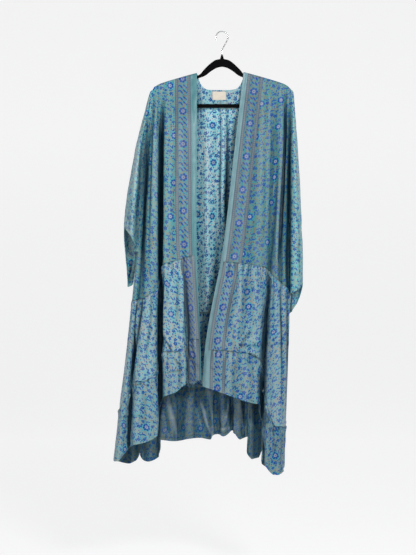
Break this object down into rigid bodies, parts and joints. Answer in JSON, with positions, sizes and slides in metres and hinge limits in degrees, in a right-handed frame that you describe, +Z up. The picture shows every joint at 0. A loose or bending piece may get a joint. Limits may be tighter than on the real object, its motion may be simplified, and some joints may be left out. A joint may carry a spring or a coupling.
{
  "type": "kimono robe on a clothes hanger",
  "caption": "Open-front kimono duster robe with long sleeves and two gathered tiers, hanging flat on a slim velvet clothes hanger with a wire hook.",
  "frame": {"origin": "inner top of the hanger's hook, where it rests on its rail", "axes": "+Z up, -Y towards the robe's open front, +X to the viewer's right"},
  "size_m": [0.5986, 0.1336, 1.3892],
  "materials": {
    "print": "light satin-faced viscose, teal ground with small blue flowers and beige mottling",
    "plain_band": "plain light teal band with a soft sheen",
    "velvet": "black flocked velvet over a moulded core",
    "hook_wire": "bright plated wire",
    "label": "plain cream woven tape, blank"
  },
  "bodies": {
    "root": {"hanger": "velvet", "hanger_hook": "hook_wire", "front_left": "print", "front_right": "print", "back": "print", "tier1_front_left": "print", "tier1_back": "print", "tier1_front_right": "print", "tier2_front_left": "print", "tier2_back": "print", "tier2_front_right": "print", "sleeve_left": "print", "sleeve_right": "print", "band_left": "plain_band", "band_right": "plain_band", "label": "label"}
  },
  "joints": []
}
